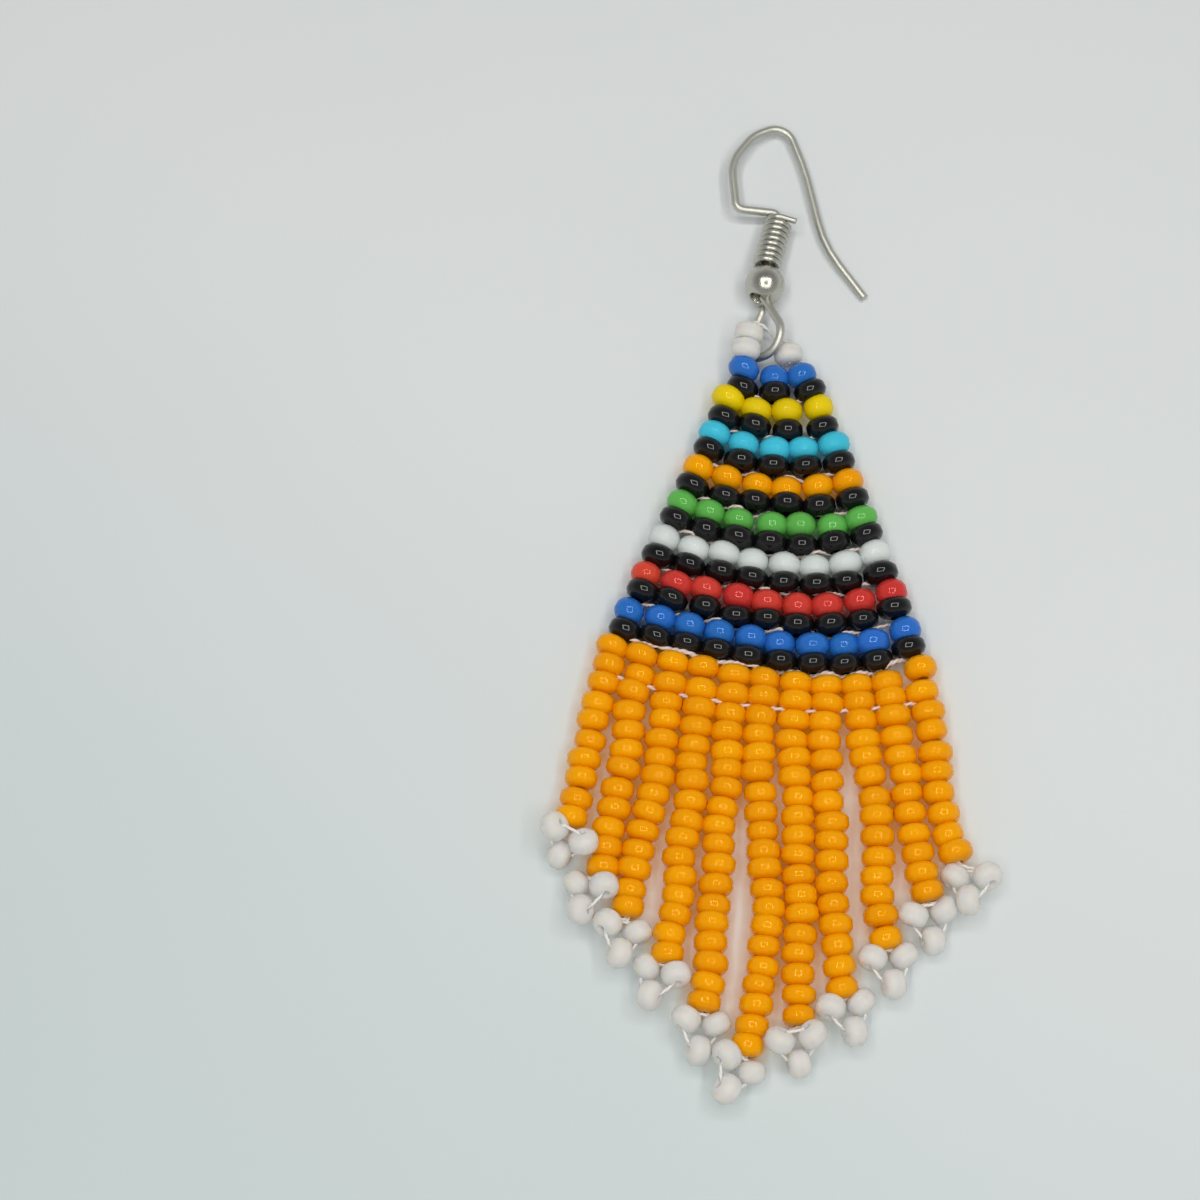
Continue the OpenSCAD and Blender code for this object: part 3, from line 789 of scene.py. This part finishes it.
def picot_places(i):
    """Centre of end loop i, its three bead centres and their hole directions, the lowest on the table.

    A bead's lowest point lies below its middle by about 0.765 * sqrt(1 - z^2) + 0.315 * |z| + 0.385,
    where z is the rise of its hole's direction.
    """
    direction, distance, *lie = PICOTS[i]
    a = np.radians(np.array([0, 120, 240]) - 90)
    out = on_ring(i, a)
    axis = turned(np.stack([-np.sin(a), np.cos(a), 0 * a], 1), *lie)
    d = math.radians(direction)
    low = 0.765 * np.sqrt(1 - axis[:, 2] ** 2) + 0.315 * np.abs(axis[:, 2]) + 0.385
    x, y = ROUTES[i][-1]
    centre = np.array([x + distance * math.sin(d), y - distance * math.cos(d), (low - out[:, 2]).max()])
    return centre, centre + out, axis


def from_ball(xy, *turns):
    """Points [x, y] of a plane turned about the ball's centre, from which they are measured."""
    return BALL + turned(np.concatenate([xy, np.zeros((len(xy), 1))], 1), *turns)


def bent_line(corners, step=6.0):
    """Line through corners [x, y, bend radius], each corner an arc, a point every step degrees of turn."""
    out = [np.array(corners[0][:2], float)[None]]
    for before, at, after in zip(corners, corners[1:], corners[2:]):
        radius, u, v = at[2], unit(np.subtract(at[:2], before[:2])), unit(np.subtract(after[:2], at[:2]))
        turn = math.atan2(u[0] * v[1] - u[1] * v[0], float(u @ v))
        start = np.array(at[:2], float) - radius * math.tan(abs(turn) / 2) * u
        centre = start + math.copysign(radius, turn) * np.array([-u[1], u[0]])
        t = np.linspace(0, turn, max(2, math.ceil(abs(math.degrees(turn)) / step)))
        w = start - centre
        c, s = np.cos(t), np.sin(t)
        out.append(centre + np.stack([w[0] * c - w[1] * s, w[0] * s + w[1] * c], 1))
    out.append(np.array(corners[-1][:2], float)[None])
    return np.concatenate(out)


# ---- operators


class EARRING_OT_fan(bpy.types.Operator):
    """Bead rows of the fan, one joined mesh a row"""
    bl_idname = "earring.fan"
    bl_label = "Fan rows"

    def execute(self, context):
        for index, name in enumerate(ROW_NODES):
            colour = name.split("_")[2]
            u = np.linspace(-1, 1, beads_in_row(index))
            centres, axes = fan_row(index, u)
            if index % 2 == 0:
                centres[:, 2] += COLOURED_HIGHER
            centres += FIRST_ROWS_MOVED.get(index, 0)
            centres[:, 1] -= row_sag(index, u)
            form = "black" if colour == "black" else "fringe" if index == EDGE_ROW else "coloured"
            scattered_beads(f"beads_{name}", centres, axes, bead_material(colour), name, f"glass_{colour}",
                            ROW_SEED + index, form)
        return {"FINISHED"}


class EARRING_OT_fringe(bpy.types.Operator):
    """Fringe strands of orange beads, one joined mesh a strand"""
    bl_idname = "earring.fringe"
    bl_label = "Fringe strands"

    def execute(self, context):
        for i, name in enumerate(STRAND_NODES):
            centres, axes = strand_places(i)
            scattered_beads(f"beads_{name}", centres, axes, bead_material("orange"), name, "glass_orange",
                            STRAND_SEED + i, "fringe")
        return {"FINISHED"}


class EARRING_OT_picots(bpy.types.Operator):
    """Three-bead loops at the strand ends, and the thread through them"""
    bl_idname = "earring.picots"
    bl_label = "End loops"

    def execute(self, context):
        threads = []
        for i, name in enumerate(PICOT_NODES):
            rng = np.random.default_rng(PICOT_SEED + i)
            centre, places, axes = picot_places(i)
            width = PICOT_WIDTH * (1 + rng.normal(0, 0.01, 3))
            white_beads(f"beads_{name}", name, places, axes, width, PICOT_LENGTH, rng)
            threads.append(thread_tube(centre + self.ring(i), PICOT_THREAD, closed=True))
            last = np.array([*ROUTES[i][-1], BEAD_LEVEL])
            ahead = unit(np.array([*np.subtract(ROUTES[i][-1], ROUTES[i][-2]), 0.0]))
            for side in (-1, 1):
                foot = centre + on_ring(i, math.radians(90 + PICOT_FEET * side))
                way = [last + on * ahead + [aside * side, 0, up] for on, aside, up in PICOT_LEAD]
                threads.append(thread_tube(smooth_line([*way, foot], 0.08), PICOT_THREAD))
        thread_piece("thread_end_loops", threads, "end_thread", ["picot_threads"])
        return {"FINISHED"}

    def ring(self, i):
        """Thread ring of end loop i: a circle drawn in by PICOT_DRAW * sin(1.5 * angle from a bead)^2."""
        a = np.radians(np.arange(0, 360, 9) + 7.0 * i)
        return on_ring(i, a, 1 - PICOT_DRAW * np.sin(1.5 * (a + math.pi / 2)) ** 2)


class EARRING_OT_loop_beads(bpy.types.Operator):
    """White beads in the wire loop, and their thread"""
    bl_idname = "earring.loop_beads"
    bl_label = "Loop beads"

    def execute(self, context):
        beads = np.array(LOOP_BEADS, float)
        places, axes = beads[:, :3], unit(beads[:, 3:])
        white_beads("beads_wire_loop", "loop_beads", places, axes, LOOP_WIDTH, LOOP_LENGTH,
                    np.random.default_rng(LOOP_SEED))
        before, after = np.array(THREAD_LEAD).T[..., None]
        ends = np.stack([places - before * axes, places + after * axes], 1).reshape(-1, 3)
        way = [*ends[:4], *THREAD_WAY, *ends[4:]]
        thread_piece("thread_wire_loop", [thread_tube(smooth_line(way, 0.08))], "end_thread", ["loop_thread"])
        return {"FINISHED"}


class EARRING_OT_stitches(bpy.types.Operator):
    """Thread that shows between the rows and between the first fringe beads"""
    bl_idname = "earring.stitches"
    bl_label = "Stitch thread"

    def execute(self, context):
        threads = [self.under_row(index) for index in range(1, EDGE_ROW, 2)]
        level = np.array([strand_places(i)[0][:2].mean(0) for i in range(len(ROUTES))])
        rng = np.random.default_rng(BETWEEN_SEED)
        between = np.concatenate([level, (level[1:] + level[:-1]) / 2])
        between = between[np.argsort(between[:, 0])]
        between[:, 2] = BETWEEN_LEVEL + rng.normal(0, BETWEEN_SCATTER, len(between))
        threads.append(thread_tube(smooth_line(between, 0.1), lobes=STITCH_LOBES))
        thread_piece("thread_stitches", threads, "thread")
        return {"FINISHED"}

    def under_row(self, index):
        """Thread that winds under black row index, high between its beads and low under them.

        Over the edge row it stays high, apart from the low points of the right half.
        """
        rng = np.random.default_rng(STITCH_SEED + index)
        u = np.linspace(-1, 1, 2 * beads_in_row(index) - 1)
        points, _ = fan_row(index, u, down=STITCH_DROP)
        edge = index == EDGE_ROW - 1
        under, between, rise, stray, share = EDGE_STITCH if edge else ROW_STITCH
        level = np.where(u < 0.1, under, ROW_STITCH[0])
        level[1::2] = between
        points[:, 2] = level + rng.normal(0, rise, len(u))
        points[:, 1] += rng.normal(0, stray, len(u))
        points[:, 1] -= row_sag(index, u)
        return thread_tube(smooth_line(points, 0.1), share, lobes=STITCH_LOBES)


class EARRING_OT_ear_wire(bpy.types.Operator):
    """Bent ear wire with its loop, the coil on the stem and the ball"""
    bl_idname = "earring.ear_wire"
    bl_label = "Ear wire, coil and ball"

    def execute(self, context):
        cfg = context.scene.earring_wire
        points, faces, _ = tube_arrays(self.wire_path(), cfg.wire / MM / 2, 16)
        new_piece("ear_wire_polished", points, faces, wire_material("Ear wire"), "wire_metal", ["ear_wire"])

        points, faces, _ = tube_arrays(self.coil_path(cfg.coil_turns, cfg.coil_radius / MM),
                                       cfg.coil_wire / MM / 2, 10)
        middle = np.array([0, 0, COIL_MIDDLE])
        points = self.on_stem(turned(points - middle, 0, 0, COIL_LEAN) + middle)
        new_piece("coil_polished", points, faces, wire_material("Coil wire"), "wire_metal", ["wire_coil"])

        ball = cfg.ball / MM / 2
        section, sides = self.ball_section(ball, cfg.bore / MM / 2), 64
        turn = np.linspace(0, 2 * np.pi, sides, endpoint=False)[:, None]
        r, z = section.T
        points = np.stack([r * np.cos(turn), r * np.sin(turn), z + 0 * turn], -1).reshape(-1, 3)
        points = self.on_stem(turned(points, *BALL_TURN)) + [0, 0, ball - BALL[2]]
        faces = [closed_grid(sides, len(section))]
        new_piece("ball_polished", points, faces, wire_material("Ball"), "wire_metal", ["ball_bead"])
        return {"FINISHED"}

    def wire_path(self):
        """Cut end, pear-shaped loop, stem and hook, with a point about every 0.14 mm.

        The loop's round end is an arc up to where a straight line from the apex touches it.
        """
        half = math.asin(LOOP_RADIUS / (LOOP_DROP - LOOP_APEX))
        t = np.linspace(1.5 * math.pi, 2 * math.pi + half, 36)
        arc = np.stack([LOOP_RADIUS * np.cos(t), LOOP_RADIUS * np.sin(t) - LOOP_DROP], 1)
        loop = from_ball(np.concatenate([bent_line(LOOP_END)[:-1], arc]), 0, 0, LOOP_TURN)
        return even_points(np.concatenate([loop, from_ball(bent_line(HOOK), 0, *HOOK_TILT)]), 0.14, int)

    def coil_path(self, turns, radius):
        """Helix of radius round the stem with 22 points a turn, then its straight cut tail."""
        k = np.linspace(0, 1, int(turns * 22) + 1)
        a = np.radians(270) + 2 * np.pi * turns * (k - 1)
        helix = np.stack([radius * np.cos(a), radius * np.sin(a), COIL_FOOT + COIL_HEIGHT * k], 1)
        tail = helix[-1] + np.linspace(0.1, COIL_TAIL, 9)[:, None] * [1, 0, 0.02]
        return np.concatenate([helix, tail])

    def ball_section(self, ball, bore, lip=0.06):
        """Half section of the drilled ball, [r, z]: an arc of radius ball, then a bore with an eased lip."""
        end = math.sqrt(ball ** 2 - bore ** 2)
        phi = np.linspace(-math.asin(end / ball), math.asin(end / ball), 40)
        outside = np.stack([ball * np.cos(phi), ball * np.sin(phi)], 1)
        wall, edge = bore - lip, bore - lip * 0.2
        top = [[edge, end + lip * 0.1], [wall, end - lip]]
        return np.concatenate([outside, top, [[wall, 0]], np.array(top)[::-1] * [1, -1]])

    def on_stem(self, points):
        """Points whose Z runs up the stem, moved to the tilted plane of the hook."""
        p = np.stack([points[:, 0], points[:, 2], -points[:, 1]], 1)
        return BALL + turned(turned(p, -STEM_LEAN, 0, 0), 0, *HOOK_TILT)


class EARRING_OT_stage(bpy.types.Operator):
    """Pale table, square light overhead, soft light all round, and the camera"""
    bl_idname = "earring.stage"
    bl_label = "Table, light and camera"

    def execute(self, context):
        scene, cfg = context.scene, context.scene.earring_stage
        u = np.linspace(-0.6, 0.6, 5)
        grid = np.stack([*np.meshgrid(u, u, indexing="ij"), np.zeros((5, 5))], -1).reshape(-1, 3)
        mesh = bpy.data.meshes.new("table")
        mesh.from_pydata(grid.tolist(), [], closed_grid(5, 5, wrap_rows=False, wrap_cols=False).tolist())
        mesh.materials.append(table_material())
        table = add_object("table", mesh)

        scene.world = scene.world or bpy.data.worlds.new("Room")
        scene.world.use_nodes = True
        tree = scene.world.node_tree
        rise = maths(tree, "MAXIMUM", split_place(tree, "Generated")["Z"], 0.0)
        rise = maths(tree, "POWER", rise, 0.65)
        set_inputs(tree.nodes["Background"], {"Color": mix_colour(tree, rise, SKY_LOW, SKY_HIGH),
                                              "Strength": cfg.sky})
        scene.view_settings.view_transform = "Standard"

        for k in range(4):
            light = bpy.data.lights.new(f"bar_{k}", "AREA")
            light.shape = "RECTANGLE"
            light.size, light.size_y = LIGHT_SIDE, LIGHT_BAR
            light.energy = cfg.light
            light.color = LIGHT_COLOUR
            a = math.pi / 2 * k
            reach = (LIGHT_SIDE - LIGHT_BAR) / 2
            obj = add_object(f"bar_{k}", light)
            obj.location = (LIGHT_MIDDLE[0] - reach * math.sin(a), LIGHT_MIDDLE[1] + reach * math.cos(a),
                            LIGHT_HEIGHT)
            obj.rotation_euler = (0, 0, a)

        camera = bpy.data.cameras.new("photo_view")
        camera.lens, camera.sensor_width, camera.sensor_fit = LENS, FILM, "HORIZONTAL"
        camera.clip_start, camera.clip_end = 0.01, 10
        view = add_object("photo_view", camera)
        e, a = cfg.elevation, cfg.turn
        right = np.array([math.cos(a), math.sin(a), 0])
        forward = np.array([-math.sin(a) * math.cos(e), math.cos(a) * math.cos(e), -math.sin(e)])
        up = np.cross(right, forward)
        place = (np.array(LOOK_AT) + SHIFT) * MM - cfg.distance * forward
        view.matrix_world = Matrix([*np.stack([right, up, -forward, place], 1).tolist(), [0, 0, 0, 1]])
        scene.camera = view
        return {"FINISHED"}


class EARRING_PT_panel(bpy.types.Panel):
    """Lists the parts of the earring and their sizes"""
    bl_idname = "EARRING_PT_panel"
    bl_label = "Beaded earring"
    bl_space_type = "VIEW_3D"
    bl_region_type = "UI"
    bl_category = "Earring"

    def draw(self, context):
        layout = self.layout
        for operator in OPERATORS:
            layout.operator(operator.bl_idname)
        for attr, group in GROUPS.items():
            box = layout.box()
            box.label(text=attr.replace("earring_", "").title())
            for key in group.__annotations__:
                box.prop(getattr(context.scene, attr), key)


OPERATORS = (EARRING_OT_fan, EARRING_OT_fringe, EARRING_OT_picots, EARRING_OT_loop_beads, EARRING_OT_stitches,
             EARRING_OT_ear_wire, EARRING_OT_stage)
GROUPS = {"earring_beads": EarringBeads, "earring_fan": EarringFan, "earring_thread": EarringThread,
          "earring_wire": EarringWire, "earring_colours": EarringColours, "earring_stage": EarringStage}


def register():
    for cls in (*GROUPS.values(), *OPERATORS, EARRING_PT_panel):
        bpy.utils.register_class(cls)
    for attr, group in GROUPS.items():
        setattr(bpy.types.Scene, attr, PointerProperty(type=group))


def unregister():
    for attr in GROUPS:
        delattr(bpy.types.Scene, attr)
    for cls in (EARRING_PT_panel, *reversed(OPERATORS), *reversed(tuple(GROUPS.values()))):
        bpy.utils.unregister_class(cls)


def main():
    register()
    bpy.ops.earring.stage()
    bpy.ops.earring.fan()
    bpy.ops.earring.fringe()
    bpy.ops.earring.picots()
    bpy.ops.earring.loop_beads()
    bpy.ops.earring.stitches()
    bpy.ops.earring.ear_wire()


if __name__ == "__main__":
    main()
